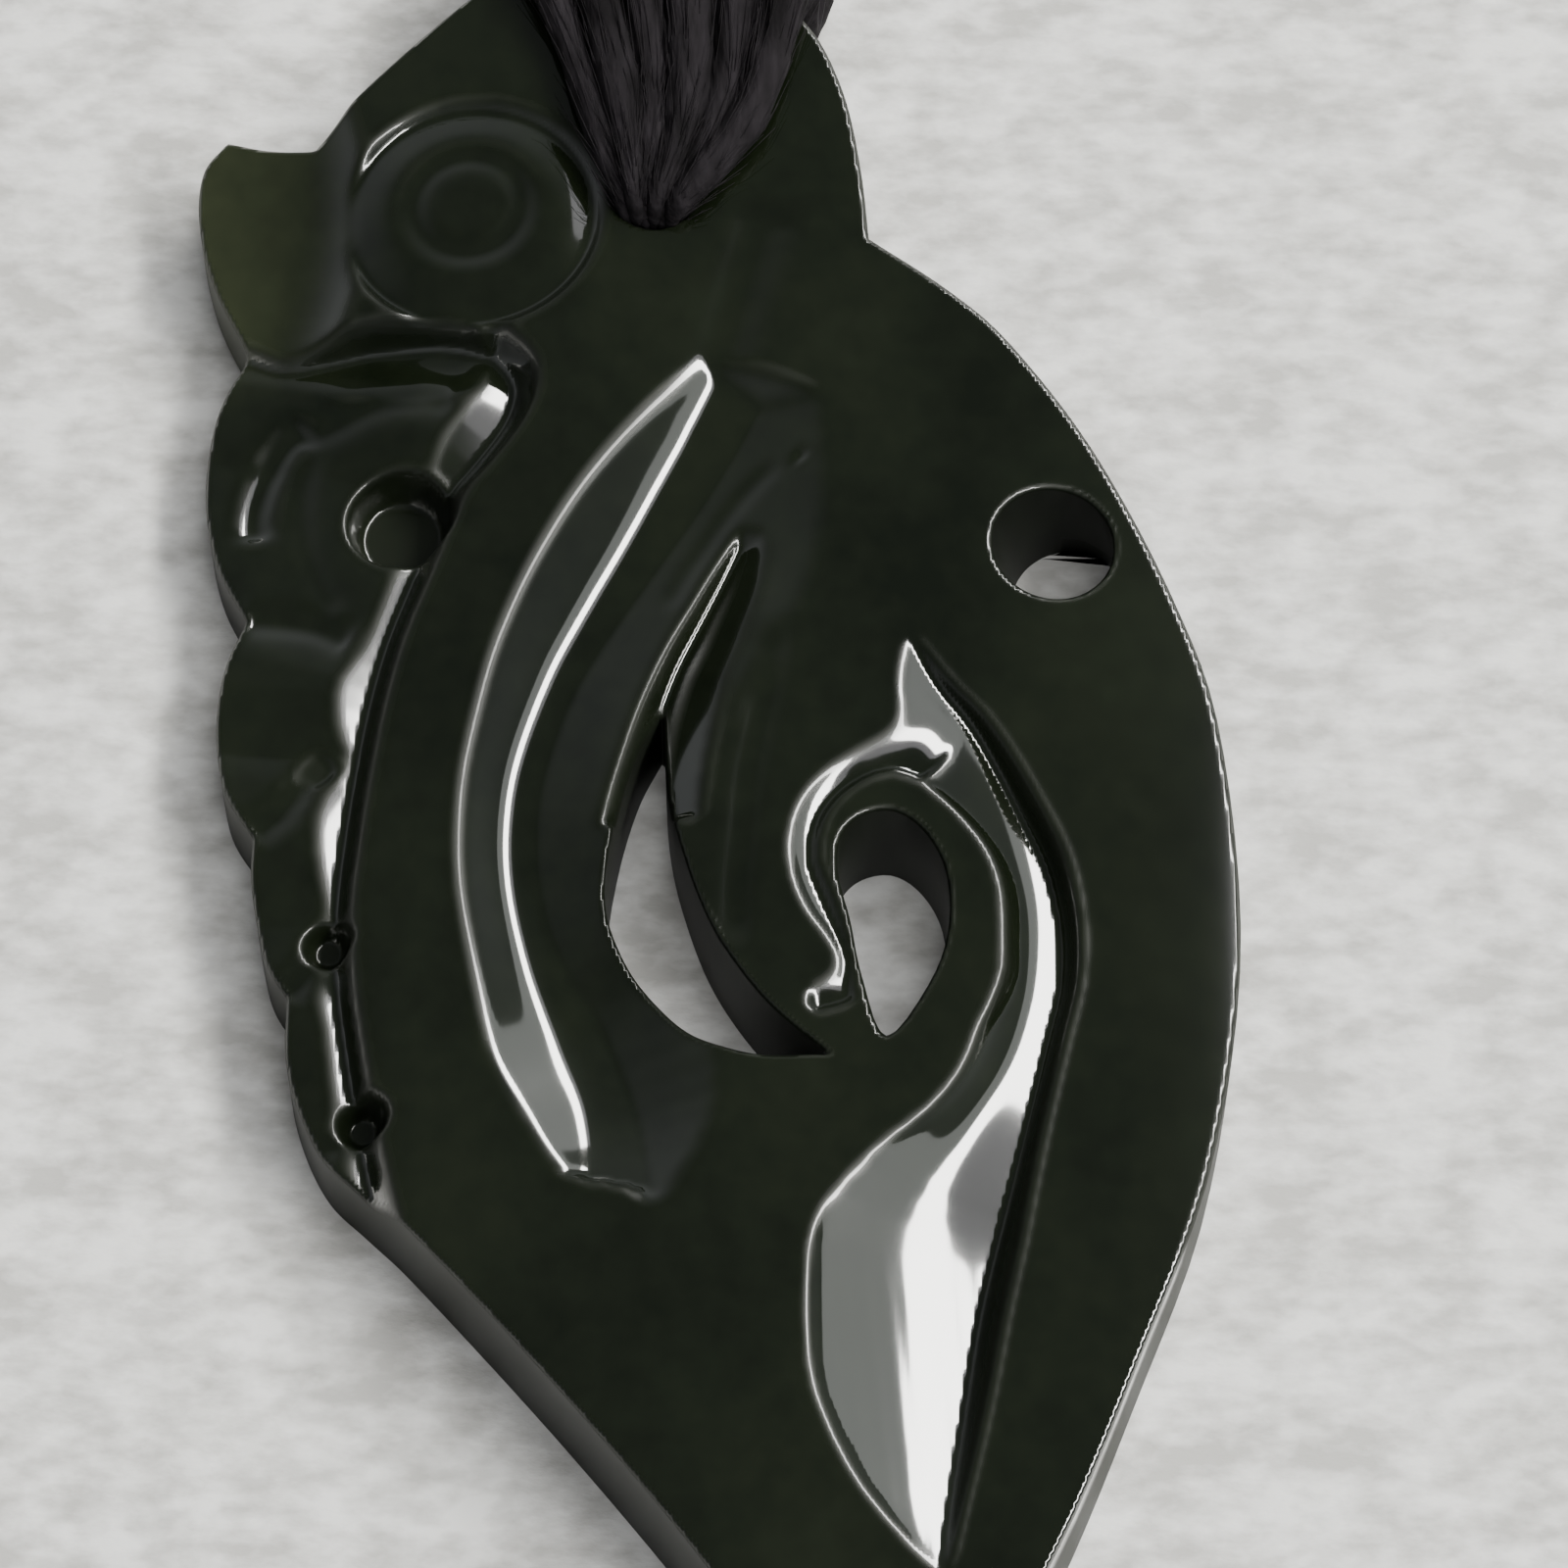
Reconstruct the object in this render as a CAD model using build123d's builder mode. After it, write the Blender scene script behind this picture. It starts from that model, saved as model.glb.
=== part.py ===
"""A manaia pendant: one carved greenstone, and the cord lashing over its top edge.

The stone lies on its back with its carved front up, the tip towards -Y and the lashing towards
+Y. The origin is on the surface that it lies on, under the middle of the whole pendant. Sizes are
in millimetres. Places on the stone are shares of its width and length, which at() reads: across
from -0.5 to 0.5, and along from 0 at the tip to 1 at the top.
"""
import os
from math import cos, hypot, radians, sin, tan

from build123d import *

os.makedirs("parts", exist_ok=True)

# The stone
stone_length = 66.0
stone_width = 36.0
stone_thickness = 5.6
crown_radius = 95.0
front_edge_round = 0.5
back_rise_degrees = 8.0
fringe_height = 3.9
beak_height = 3.6

# Its holes, hollows and carved floors
drill_radius = 2.05
drill_lean_degrees = 9.0
cord_hole_radius = 1.5
jaw_hollow_radius = 1.6
jaw_hollow_depth = 2.0
pit_radius = 0.75
pit_depth = 1.2
pupil_radius = 1.45
eye_width = 8.8
eye_height = 8.4
eye_groove_width = 0.7
eye_groove_depth = 0.6
flute_lean_degrees = 14.0
scoop_lean_degrees = 17.0

# The lashing
strand_count = 6
strand_radius = 0.9
strand_gap = 0.15
pinched_radius = 0.34
pinched_pitch = 0.4
stack_height = 0.62
flattened_radius = 0.17
wrap_steps = 10
roll_wall = 0.6
roll_end_round = 0.3
cord_channel_radius = 1.25
clearance = 0.12
floor_gap = 0.05

# The straight seat of the lashing on the stone's top edge. Columns: across, along.
seat_left = (-0.200, 1.0)
seat_right = (0.085, 0.976)

seat_run = (seat_right[0] - seat_left[0]) * stone_width
seat_fall = (seat_left[1] - seat_right[1]) * stone_length
seat_length = hypot(seat_run, seat_fall)
strand_pitch = 2 * strand_radius + strand_gap
roll_length = strand_count * strand_pitch
roll_radius = cord_channel_radius + roll_wall
wrap_radius = roll_radius + clearance + strand_radius
roll_height = floor_gap + strand_radius + wrap_radius
overhang = (
    (roll_radius + clearance + wrap_radius) * seat_run / seat_length
    + (strand_count - 1) / 2 * strand_pitch * seat_fall / seat_length
    + strand_radius - seat_fall / 2
)
stone_tip = -(stone_length + overhang) / 2


def at(across, along):
    """Place on the stone, from its shares of the width and the length."""
    return across * stone_width, stone_tip + along * stone_length


def face_height(x):
    """Height of the crowned front, at a distance across from its middle line."""
    return stone_thickness - x**2 / (2 * crown_radius)


# The outline, clockwise from the notch between beak and brow. Columns: across, along.
brow = [(-0.387, 0.906), (-0.324, 0.943), (-0.240, 0.986), seat_left]
shoulder = [seat_right, (0.110, 0.955), (0.133, 0.922), (0.147, 0.879), (0.154, 0.840)]
right_edge = [
    (0.154, 0.840), (0.232, 0.810), (0.291, 0.780), (0.369, 0.720), (0.442, 0.636), (0.482, 0.563),
    (0.496, 0.440), (0.462, 0.320), (0.394, 0.215), (0.323, 0.121), (0.248, 0.047), (0.150, 0.0),
]
lower_left_edge = [(0.150, 0.0), (0.055, 0.064), (-0.035, 0.130), (-0.146, 0.205), (-0.315, 0.308)]
# Scallops of the fringe, from the lowest to the jaw. Columns: across and along of middle, of end.
scallops = [
    (-0.375, 0.353, -0.388, 0.416),
    (-0.416, 0.458, -0.425, 0.505),
    (-0.460, 0.567, -0.439, 0.632),
    (-0.483, 0.709, -0.447, 0.789),
]
beak_front = [(-0.447, 0.789), (-0.480, 0.825), (-0.496, 0.867), (-0.474, 0.916)]

# Carved lines, each a curve. Columns: across, along.
ridge_groove = [
    (0.020, 0.877), (-0.008, 0.824), (-0.055, 0.780), (-0.106, 0.736), (-0.152, 0.684),
    (-0.192, 0.633), (-0.222, 0.544), (-0.225, 0.456), (-0.199, 0.375),
]
fringe_groove = [
    (-0.070, 0.826), (-0.168, 0.750), (-0.241, 0.681), (-0.299, 0.613), (-0.337, 0.540),
    (-0.352, 0.453), (-0.330, 0.372), (-0.312, 0.315),
]
mouth_groove = [(-0.440, 0.757), (-0.400, 0.778), (-0.325, 0.793), (-0.240, 0.786), (-0.195, 0.765)]
jaw_line = [(-0.303, 0.738), (-0.344, 0.721), (-0.358, 0.682), (-0.344, 0.642), (-0.319, 0.612)]
crescent_tail = [(0.085, 0.720), (0.016, 0.670), (-0.021, 0.624), (-0.034, 0.565)]
spiral_outside = [
    (0.186, 0.610), (0.229, 0.574), (0.274, 0.538), (0.308, 0.500), (0.330, 0.440), (0.317, 0.391),
    (0.285, 0.350),
]
spiral_inside = [(0.215, 0.575), (0.161, 0.544), (0.118, 0.530), (0.096, 0.505), (0.110, 0.470)]
tongue_line = [(0.072, 0.622), (0.057, 0.555), (0.049, 0.500), (0.047, 0.437)]
# Columns: route, width, depth.
carved_lines = [
    (ridge_groove, 1.8, 1.5),
    (fringe_groove, 1.1, 1.8),
    (mouth_groove, 0.9, 2.2),
    (jaw_line, 0.5, 2.0),
    (crescent_tail, 1.7, 1.8),
    (spiral_outside, 1.7, 1.5),
    (spiral_inside, 1.0, 1.0),
    (tongue_line, 0.9, 0.5),
]

# The low fringe and jaw, and the thin beak, left of the ridge. Columns: across, along.
fringe_field = fringe_groove[1:] + [
    (-0.312, 0.270), (-0.600, 0.270), (-0.600, 0.775), (-0.300, 0.790),
]
beak_field = [(-0.375, 0.800), (-0.390, 0.860), (-0.372, 0.930), (-0.600, 0.930), (-0.600, 0.760)]

# Floors that lean down to the right, each between its left and right sides. Columns: across, along.
flute_left = [
    (0.290, 0.380), (0.171, 0.335), (0.116, 0.305), (0.103, 0.265), (0.102, 0.200), (0.142, 0.155),
    (0.212, 0.085),
]
flute_right = [(0.290, 0.380), (0.300, 0.340), (0.270, 0.281), (0.245, 0.223), (0.212, 0.085)]
scoop_left = [(-0.196, 0.440), (-0.188, 0.362), (-0.174, 0.324), (-0.100, 0.290)]
scoop_right = [(-0.196, 0.440), (-0.146, 0.410), (-0.105, 0.360), (-0.100, 0.290)]

# Openings cut right through, each between two curves. Columns: across, along.
crescent_outer = [
    (-0.042, 0.575), (-0.066, 0.545), (-0.085, 0.505), (-0.091, 0.456), (-0.075, 0.430),
    (-0.048, 0.404), (-0.009, 0.384), (0.036, 0.374), (0.115, 0.378),
]
crescent_inner = [
    (-0.042, 0.575), (-0.036, 0.520), (-0.018, 0.478), (0.007, 0.441), (0.045, 0.410),
    (0.115, 0.378),
]
teardrop_left = [(0.170, 0.381), (0.149, 0.417), (0.135, 0.459), (0.142, 0.490), (0.180, 0.504)]
teardrop_right = [(0.170, 0.381), (0.213, 0.413), (0.226, 0.455), (0.217, 0.490), (0.180, 0.504)]

eye_centre = (-0.232, 0.862)
jaw_hollow_centre = (-0.296, 0.690)
drill_centre = (0.328, 0.667)
cord_hole_centre = (-0.053, 0.867)
back_rise_start = 0.742
pits = [(-0.374, 0.547), (-0.354, 0.445), (-0.316, 0.347)]


def carve(route, width, depth):
    """Cut a line of one width along a curve, to a depth under the front at the curve's middle."""
    middle_x = at(*route[len(route) // 2])[0]
    with BuildSketch(Plane.XY.offset(face_height(middle_x) - depth)) as line:
        with BuildLine():
            Spline(*[at(*point) for point in route])
        trace(line_width=width)
    extrude(line.sketch, amount=stone_thickness, mode=Mode.SUBTRACT)


def cut_through(left_side, right_side):
    """Cut an opening between two curves that share their ends."""
    with BuildSketch() as opening:
        with BuildLine():
            Spline(*[at(*point) for point in left_side])
            Spline(*[at(*point) for point in right_side])
        make_face()
    extrude(opening.sketch, amount=stone_thickness, mode=Mode.SUBTRACT)


def lower(corners, height):
    """Cut the front down to one height inside a field with straight sides."""
    with BuildSketch(Plane.XY.offset(height)) as field:
        with BuildLine():
            Polyline(*[at(*corner) for corner in corners], close=True)
        make_face()
    extrude(field.sketch, amount=stone_thickness, mode=Mode.SUBTRACT)


def lean_floor(left_side, right_side, degrees):
    """Cut a floor that meets the front where its left side lies furthest left, and leans right."""
    start_x, start_y = min(at(*point) for point in left_side)
    slope = radians(degrees)
    floor = Plane(
        origin=(start_x, start_y, face_height(start_x)),
        x_dir=(cos(slope), 0, -sin(slope)),
        z_dir=(sin(slope), 0, cos(slope)),
    )
    with BuildSketch(floor) as field:
        with BuildLine():
            for side in (left_side, right_side):
                places = [at(*point) for point in side]
                Spline(*[((x - start_x) / cos(slope), y - start_y) for x, y in places])
        make_face()
    extrude(field.sketch, amount=stone_thickness, mode=Mode.SUBTRACT)


def hollow(centre, radius, depth):
    """Drill a blind round hollow into the front."""
    x, y = at(*centre)
    with BuildSketch(Plane.XY.offset(face_height(x) - depth)) as floor:
        with Locations((x, y)):
            Circle(radius)
    extrude(floor.sketch, amount=stone_thickness, mode=Mode.SUBTRACT)


with BuildPart() as greenstone:
    with BuildSketch():
        with BuildLine():
            for side in (brow, shoulder, right_edge, lower_left_edge, beak_front):
                Spline(*[at(*point) for point in side])
            Line(at(*seat_left), at(*seat_right))
            Line(at(*beak_front[-1]), at(*brow[0]))
            start = lower_left_edge[-1]
            for middle_across, middle_along, end_across, end_along in scallops:
                end = (end_across, end_along)
                ThreePointArc(at(*start), at(middle_across, middle_along), at(*end))
                start = end
        make_face()
    extrude(amount=stone_thickness)

    # The crowned front is the top of a wide barrel that lies along the stone.
    with Locations((0, 0, stone_thickness - crown_radius)):
        Cylinder(crown_radius, 2 * stone_length, rotation=(90, 0, 0), mode=Mode.INTERSECT)

    front_rim = greenstone.faces().sort_by(Axis.Z)[-1].outer_wire().edges()
    fillet(front_rim, front_edge_round)

    # The two drilled holes: the leaning one by the right edge, and the one for the cord.
    drill_x, drill_y = at(*drill_centre)
    with Locations(Location((drill_x, drill_y, stone_thickness / 2), (0, -drill_lean_degrees, 0))):
        Cylinder(drill_radius, 3 * stone_thickness, mode=Mode.SUBTRACT)
    hole_x, hole_y = at(*cord_hole_centre)
    with Locations((hole_x, hole_y, stone_thickness / 2)):
        Cylinder(cord_hole_radius, 3 * stone_thickness, mode=Mode.SUBTRACT)

    # The back rises towards the top, to leave room for the lashing under the stone.
    rise_y = at(0, back_rise_start)[1]
    rise_end = stone_length / 2 + overhang
    with BuildSketch(Plane.YZ):
        with BuildLine():
            Polyline(
                (rise_y, 0),
                (rise_end, 0),
                (rise_end, (rise_end - rise_y) * tan(radians(back_rise_degrees))),
                close=True,
            )
        make_face()
    extrude(amount=stone_width, both=True, mode=Mode.SUBTRACT)

    lower(fringe_field, fringe_height)
    lower(beak_field, beak_height)
    for route, width, depth in carved_lines:
        carve(route, width, depth)
    lean_floor(flute_left, flute_right, flute_lean_degrees)
    lean_floor(scoop_left, scoop_right, scoop_lean_degrees)
    cut_through(crescent_outer, crescent_inner)
    cut_through(teardrop_left, teardrop_right)
    hollow(jaw_hollow_centre, jaw_hollow_radius, jaw_hollow_depth)
    for pit in pits:
        hollow(pit, pit_radius, pit_depth + face_height(at(*pit)[0]) - fringe_height)

    # The eye: an oval line with a round one inside it.
    eye_x, eye_y = at(*eye_centre)
    with BuildSketch(Plane.XY.offset(face_height(eye_x) - eye_groove_depth)):
        with Locations((eye_x, eye_y)):
            Ellipse(eye_width / 2, eye_height / 2)
            Ellipse(
                eye_width / 2 - eye_groove_width,
                eye_height / 2 - eye_groove_width,
                mode=Mode.SUBTRACT,
            )
            Circle(pupil_radius + eye_groove_width)
            Circle(pupil_radius, mode=Mode.SUBTRACT)
    extrude(amount=stone_thickness, mode=Mode.SUBTRACT)

greenstone.part.label = "greenstone"
export_step(greenstone.part, "parts/greenstone.step")


# The roll of cord on the stone's top edge, with the open channel for the neck cord.
up = Vector(0, 0, 1)
along_seat = Vector(seat_run, -seat_fall, 0).normalized()
off_seat = Vector(seat_fall, seat_run, 0).normalized()
seat_middle = (Vector(*at(*seat_left)) + Vector(*at(*seat_right))) / 2
roll_middle = seat_middle + off_seat * (roll_radius + clearance) + up * roll_height

with BuildPart() as cord_roll:
    with BuildSketch(Plane(origin=roll_middle, x_dir=up, z_dir=along_seat)):
        Circle(roll_radius)
        Circle(cord_channel_radius, mode=Mode.SUBTRACT)
    extrude(amount=roll_length / 2, both=True)
    outer_rims = cord_roll.edges().filter_by(GeomType.CIRCLE).group_by(SortBy.RADIUS)[-1]
    fillet(outer_rims, roll_end_round)

cord_roll.part.label = "cord_roll"
export_step(cord_roll.part, "parts/cord_roll.step")

# The lashing: a plug in the cord hole, and strands that fan out of it and wrap the roll.
hole = Vector(*at(*cord_hole_centre))
rise_at_hole = (hole.Y - rise_y) * tan(radians(back_rise_degrees))
front_height = stone_thickness + clearance + pinched_radius
back_height = rise_at_hole / 2
plug_bottom = back_height - 2 * flattened_radius
plug_top = front_height + stack_height + pinched_radius + clearance


def round_section(place, heading, radius):
    """Round section of a strand, square to the way that the strand heads there."""
    level = along_seat - heading * along_seat.dot(heading)
    with BuildSketch(Plane(origin=place, x_dir=level, z_dir=heading)) as section:
        Circle(radius)
    return section.sketch


def strand_sections(number):
    """Sections of one strand, from the plug's front over the roll to the plug's back.

    Every second strand lies on its neighbours where they pinch together at the hole.
    """
    offset = number - (strand_count - 1) / 2
    mouth = hole + along_seat * offset * pinched_pitch
    turning_point = roll_middle + along_seat * offset * strand_pitch
    front = mouth + up * (front_height + stack_height * (number % 2))
    back = mouth + up * back_height
    over = turning_point + up * wrap_radius
    under = turning_point - up * wrap_radius
    run = turning_point - mouth
    away = Vector(run.X, run.Y, 0).normalized()
    sections = [
        round_section(front, away, pinched_radius),
        round_section((front + over) / 2, away, (pinched_radius + strand_radius) / 2),
    ]
    for step in range(wrap_steps + 1):
        turn = radians(90 - 180 * step / wrap_steps)
        outward = off_seat * cos(turn) + up * sin(turn)
        onward = off_seat * sin(turn) - up * cos(turn)
        sections.append(round_section(turning_point + outward * wrap_radius, onward, strand_radius))
    sections += [
        round_section((back + under) / 2, away * -1, (flattened_radius + strand_radius) / 2),
        round_section(back, away * -1, flattened_radius),
    ]
    return sections


with BuildPart() as lashing:
    with BuildSketch(Plane.XY.offset(plug_bottom)):
        with Locations((hole.X, hole.Y)):
            Circle(cord_hole_radius - clearance)
    extrude(amount=plug_top - plug_bottom)
    for number in range(strand_count):
        loft(strand_sections(number), ruled=True)

lashing.part.label = "lashing"
export_step(lashing.part, "parts/lashing.step")
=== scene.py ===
# %% [markdown]
# # A manaia pendant in greenstone
# The stone is one slab of dark nephrite, carved from the front and polished, with a lashing of fine
# cord over its top edge. It lies on its back on pale paper, under one long window to the right.
# This lesson carves the stone as a field of heights: one number for each point of a grid. That way
# suits work that is cut from one side, because every gouge is a formula that lowers some of the
# heights. The cord is built from tubes that follow smooth paths.

import bpy
import numpy as np
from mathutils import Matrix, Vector, geometry


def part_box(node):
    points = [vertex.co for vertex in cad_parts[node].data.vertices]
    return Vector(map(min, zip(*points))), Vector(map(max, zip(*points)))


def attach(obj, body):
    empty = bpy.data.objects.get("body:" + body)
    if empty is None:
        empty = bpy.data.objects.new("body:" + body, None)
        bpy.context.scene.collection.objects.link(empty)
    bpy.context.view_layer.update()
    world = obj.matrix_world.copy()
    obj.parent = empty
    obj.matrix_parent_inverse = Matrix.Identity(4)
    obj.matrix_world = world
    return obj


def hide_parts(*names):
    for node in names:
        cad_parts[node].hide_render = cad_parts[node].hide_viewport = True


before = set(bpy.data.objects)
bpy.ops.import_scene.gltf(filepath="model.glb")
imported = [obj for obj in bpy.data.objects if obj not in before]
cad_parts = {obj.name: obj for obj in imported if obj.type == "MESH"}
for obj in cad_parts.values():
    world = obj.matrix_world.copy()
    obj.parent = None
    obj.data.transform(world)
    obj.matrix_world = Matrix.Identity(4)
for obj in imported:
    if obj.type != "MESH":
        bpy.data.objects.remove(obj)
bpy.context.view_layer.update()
stone_low, stone_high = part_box("greenstone")
print("stone", [round(1000 * side, 2) for side in stone_high - stone_low], "mm")

# %% [markdown]
# ## Curves and distances
# A carver draws each edge on the slab before cutting. Here an edge is a short list of points in
# millimetres, and a smooth curve runs through them. What a gouge needs to know about a point is how
# far it lies from that curve, on which side, and how far along. These helpers work that out for the
# whole grid in one go, one short piece of the curve at a time.

# %% The grid and its helpers
MM = 0.001
STEP = 0.135
MARGIN = 1.0
CURVE_PIECES = 48
grid_low = np.array(stone_low) / MM - MARGIN
grid_high = np.array(stone_high) / MM + MARGIN
X, Y = np.meshgrid(
    np.arange(grid_low[0], grid_high[0], STEP), np.arange(grid_low[1], grid_high[1], STEP),
    indexing="ij",
)
print("grid", X.shape)


def smooth_curve(points, pieces=CURVE_PIECES, closed=False):
    """Points on the cubic that passes each given point with the slope between its neighbours."""
    points = np.array(points, float)
    if closed:
        points = np.vstack([points[-1:], points, points[:2]])
    else:
        points = np.vstack([2 * points[0] - points[1], points, 2 * points[-1] - points[-2]])
    spans = len(points) - 3
    place = np.linspace(0, spans, pieces + 1)
    span = np.minimum(place.astype(int), spans - 1)
    t = (place - span)[:, None]
    a, b, c, d = points[span], points[span + 1], points[span + 2], points[span + 3]
    cubic = 2 * b + (c - a) * t + (2 * a - 5 * b + 4 * c - d) * t**2
    return (cubic + (3 * b - a - 3 * c + d) * t**3) / 2


def beside(path):
    """Distance of each grid point from a path, and the share of the path at its nearest place."""
    steps = np.diff(path, axis=0)
    lengths = np.hypot(*steps.T)
    starts = np.concatenate([[0], np.cumsum(lengths)])
    nearest = np.full(X.shape, np.inf)
    along = np.zeros(X.shape)
    for corner, step, length, start in zip(path[:-1], steps, lengths, starts):
        across_x, across_y = X - corner[0], Y - corner[1]
        share = np.clip((across_x * step[0] + across_y * step[1]) / length**2, 0, 1)
        distance = np.hypot(across_x - share * step[0], across_y - share * step[1])
        closer = distance < nearest
        nearest = np.where(closer, distance, nearest)
        along = np.where(closer, start + share * length, along)
    return nearest, along / starts[-1]


def within(loop):
    """Distance of each grid point from a closed loop, positive inside and negative outside."""
    loop = np.vstack([loop, loop[:1]])
    loop = loop[np.append(True, np.hypot(*np.diff(loop, axis=0).T) > 1e-6)]
    odd = np.zeros(X.shape, bool)
    for (ax, ay), (bx, by) in zip(loop[:-1], loop[1:]):
        crosses = (ay > Y) != (by > Y)
        rise = by - ay if by != ay else 1.0
        odd ^= crosses & (X < ax + (Y - ay) * (bx - ax) / rise)
    return np.where(odd, 1, -1) * beside(loop)[0]


# %% [markdown]
# ## Heights that keep their slopes
# Light shows a surface's slope and not its height, and a crease is only sharp if the slope jumps
# there. So each surface carries its slopes along with its heights. Where two surfaces meet, the
# lower one is taken with its own slopes, and a reach rounds the meeting over.

# %% Surfaces with their slopes
def surface(height):
    """A height field with its slopes along X and along Y: three layers in one array."""
    return np.stack([height, *np.gradient(height, STEP)])


def lower_of(a, b, reach=0.0):
    """The lower of two surfaces, rounded where they meet: min - (reach - |a - b|)^2 / 4 reach."""
    low, high = np.where(a[0] < b[0], a, b), np.where(a[0] < b[0], b, a)
    if np.all(reach == 0):
        return low
    overlap = np.maximum(reach - (high[0] - low[0]), 0)
    rounded = low + (high - low) * overlap / (2 * reach)
    rounded[0] = low[0] - overlap**2 / (4 * reach)
    return rounded


def higher_of(a, b, reach=0.0):
    """The higher of two surfaces, rounded in the same way."""
    return -lower_of(-a, -b, reach)


def fade(value, start, end):
    """0 before start, 1 after end, and the smooth step 3t^2 - 2t^3 between."""
    t = np.clip((value - start) / (end - start), 0, 1)
    return t * t * (3 - 2 * t)


# %% [markdown]
# ## The slab
# The slab's edge, its two pierced openings and its drilled holes were sawn and filed right through.
# Each is a distance field, and the smallest of them says how far a point is from the nearest cut.
# The front is crowned, as if it were the top of a wide barrel that lies along the stone.

# %% The slab's edge and openings
THICKNESS = 5.6
CROWN_RADIUS = 95.0

edge_runs = [
    [(-13.9, 24.0), (-11.7, 26.4), (-8.6, 29.3), (-7.2, 30.2)],
    [(-7.2, 30.2), (3.1, 28.6)],
    [(3.1, 28.6), (4.0, 27.2), (4.8, 25.0), (5.3, 22.2), (5.55, 19.6)],
    [
        (5.55, 19.6), (8.4, 17.6), (10.5, 15.6), (13.3, 11.6), (15.9, 6.2), (17.4, 1.2),
        (17.9, -6.8), (16.7, -14.7), (14.2, -21.6), (11.6, -27.9), (8.9, -32.7), (5.4, -35.8),
    ],
    [(5.4, -35.8), (2.0, -31.6), (-1.2, -27.3), (-5.2, -22.4), (-9.6, -17.4), (-11.3, -15.7)],
    [(-11.3, -15.7), (-12.6, -14.4), (-13.5, -12.6), (-14.0, -10.6), (-14.0, -8.5)],
    [(-14.0, -8.5), (-14.7, -7.3), (-15.1, -5.7), (-15.35, -4.0), (-15.3, -2.6)],
    [(-15.3, -2.6), (-16.3, -0.9), (-16.7, 1.4), (-16.5, 3.7), (-15.8, 5.7)],
    [(-15.8, 5.7), (-16.9, 8.0), (-17.4, 10.8), (-17.1, 13.8), (-16.1, 16.1)],
    [(-16.1, 16.1), (-17.3, 18.6), (-17.9, 21.2), (-17.8, 23.2), (-17.0, 24.4)],
    [(-17.0, 24.4), (-15.6, 24.1), (-13.9, 24.0)],
]
crescent_runs = [
    [
        (-1.5, 2.1), (-2.4, 0.2), (-3.1, -2.5), (-3.4, -5.3), (-2.8, -7.4), (-1.7, -9.1),
        (-0.3, -10.5), (1.6, -11.2), (4.1, -11.2),
    ],
    [(4.1, -11.2), (2.0, -9.3), (0.3, -6.8), (-0.7, -4.2), (-1.3, -1.5), (-1.5, 2.1)],
]
teardrop_points = [
    (6.0, -10.5), (5.2, -8.4), (4.8, -6.3), (4.4, -4.6), (4.5, -3.3), (5.2, -2.5), (6.3, -2.3),
    (7.3, -3.0), (8.0, -4.4), (8.1, -6.4), (7.5, -8.4),
]
DRILL_PLACE, DRILL_RADIUS = (11.8, 8.0), 2.08
CORD_HOLE_PLACE, CORD_HOLE_RADIUS = (-1.9, 21.4), 1.5


def joined(runs):
    """One closed loop from several smooth runs that end where the next one starts."""
    return np.vstack([smooth_curve(run, 4 * len(run) + 8)[:-1] for run in runs])


def from_circle(place, radius):
    """Distance of each grid point outside a circle, negative inside it."""
    return np.hypot(X - place[0], Y - place[1]) - radius


from_edge = within(joined(edge_runs))
cuts = [
    -within(joined(crescent_runs)),
    -within(smooth_curve(teardrop_points, closed=True)[:-1]),
    from_circle(DRILL_PLACE, DRILL_RADIUS),
    from_circle(CORD_HOLE_PLACE, CORD_HOLE_RADIUS),
]
solid = np.minimum.reduce([from_edge] + cuts)


def crown(x):
    """Height of the polished front before it is carved: thickness - x^2 / 2 radius."""
    return THICKNESS - x**2 / (2 * CROWN_RADIUS)


front = crown(X)
print("slab", int((solid > 0).sum() * STEP**2), "mm2")

# %% [markdown]
# ## Gouges
# The carver's round burr leaves a hollow that falls at an even angle, turns along its own line, and
# runs out more gently to the wall on the other side. So a gouge is drawn as three lines: the crease
# where it starts, the line where its floor turns, and the wall's foot, with how deep the turn lies.
# The floor turns over a short reach. A polished hollow shows its bright streak there, because only
# there does it face halfway between the eye and the window.

# %% A gouge between two edges
FLOOR_ROUNDS, LAST_ROUNDS = 5, 1


def polished(height, rounds):
    """Each point takes half its height from its two neighbours, along X and then along Y."""
    for _ in range(rounds):
        for axis in (0, 1):
            height = (np.roll(height, 1, axis) + 2 * height + np.roll(height, -1, axis)) / 4
    return height


def eased(values, along):
    """Values spread evenly along a path, with a smooth curve through them, read at each share."""
    shares = np.linspace(0, 1, len(values))
    return np.interp(along, *smooth_curve(list(zip(shares, values)), 8 * len(values)).T)


def slope_along(degrees, along):
    """Tangent of an angle that changes along a path, through each angle of a list."""
    return np.tan(np.radians(eased(degrees, along)))


def turned(past, reach):
    """What a smooth turn centred on 0 has added up so far: 2 * reach * (t^3 - t^4 / 2)."""
    t = (past + reach) / (2 * reach)
    bent = np.clip(t, 0, 1)
    return 2 * reach * (bent**3 - bent**4 / 2 + np.maximum(t - 1, 0))


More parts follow.
